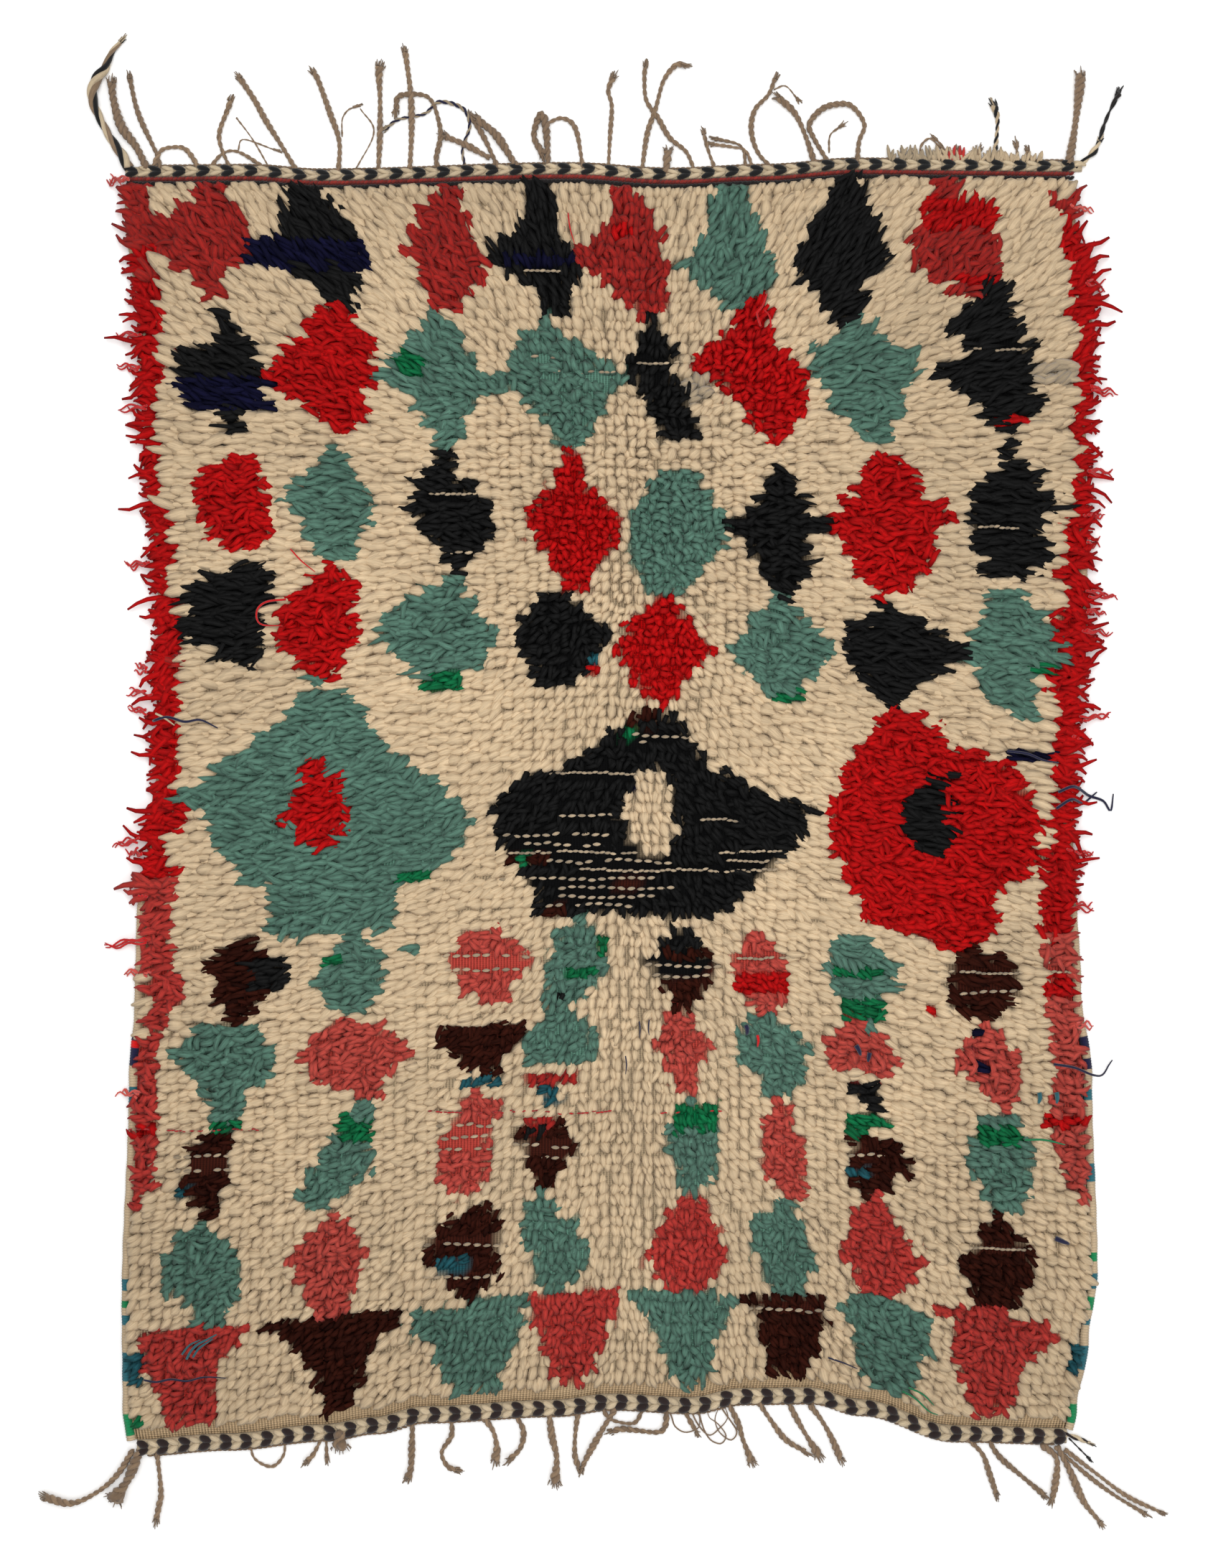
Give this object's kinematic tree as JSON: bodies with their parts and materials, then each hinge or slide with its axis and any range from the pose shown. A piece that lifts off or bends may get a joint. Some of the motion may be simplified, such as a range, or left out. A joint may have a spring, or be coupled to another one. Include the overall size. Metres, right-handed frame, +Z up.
{
  "type": "shag rug",
  "caption": "Small hand-knotted shag rug with a cream pile, stepped lozenge motifs, coloured side borders, braided ends and loose uneven warp fringe, lying flat.",
  "frame": {"origin": "under the middle of the whole rug, fringe included, on the surface it lies on", "axes": "+Z up out of the pile, +Y along the length towards the end with the red and dark twined bands, +X across"},
  "size_m": [1.2516, 1.6504, 0.024],
  "materials": {
    "pile": "matte wool pile, cream with teal, red, black, brown and green motifs",
    "binding": "matte overcast wool",
    "dark_band": "matte twined wool",
    "red_band": "matte twined wool",
    "braid": "matte plaited wool, cream and near-black",
    "fringe": "matte twisted cotton and wool warp"
  },
  "bodies": {
    "root": {"rug": "pile", "selvedge_left": "binding", "selvedge_right": "binding", "band_top_dark": "dark_band", "band_top_red": "red_band", "braid_top": "braid", "braid_bottom": "braid", "fringe_top": "fringe", "fringe_bottom": "fringe"}
  },
  "joints": []
}
